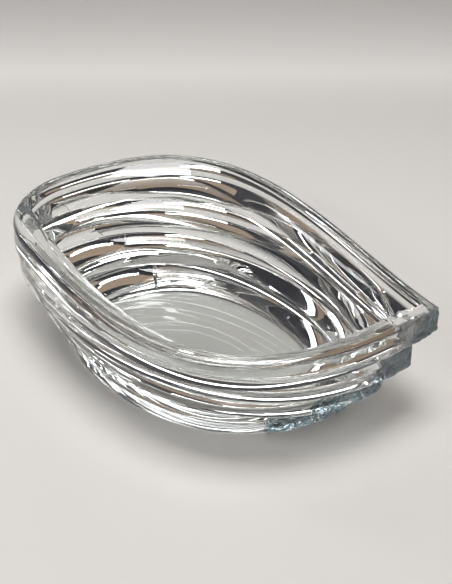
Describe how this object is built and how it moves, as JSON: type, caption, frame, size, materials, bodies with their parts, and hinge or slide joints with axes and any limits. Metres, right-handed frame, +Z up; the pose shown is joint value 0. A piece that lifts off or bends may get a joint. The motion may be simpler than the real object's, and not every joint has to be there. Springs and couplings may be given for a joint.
{
  "type": "glass centerpiece bowl",
  "caption": "Heavy clear glass centerpiece bowl, leaf-shaped in plan, its stepped wall stacked from curved bars with squared ends round a flat floor.",
  "frame": {"origin": "on the table, under the middle of the bowl's bounding box", "axes": "+X along the bowl to its right tip, +Y to the rear wall, +Z up"},
  "size_m": [0.349, 0.2502, 0.0972],
  "materials": {
    "clear_glass": "polished"
  },
  "bodies": {
    "root": {"rim_front_bar": "clear_glass", "rim_rear_bar": "clear_glass", "second_front_bar": "clear_glass", "second_rear_bar": "clear_glass", "third_front_bar": "clear_glass", "third_rear_bar": "clear_glass", "foot_front_bar": "clear_glass", "foot_rear_bar": "clear_glass", "floor_plate": "clear_glass"}
  },
  "joints": []
}
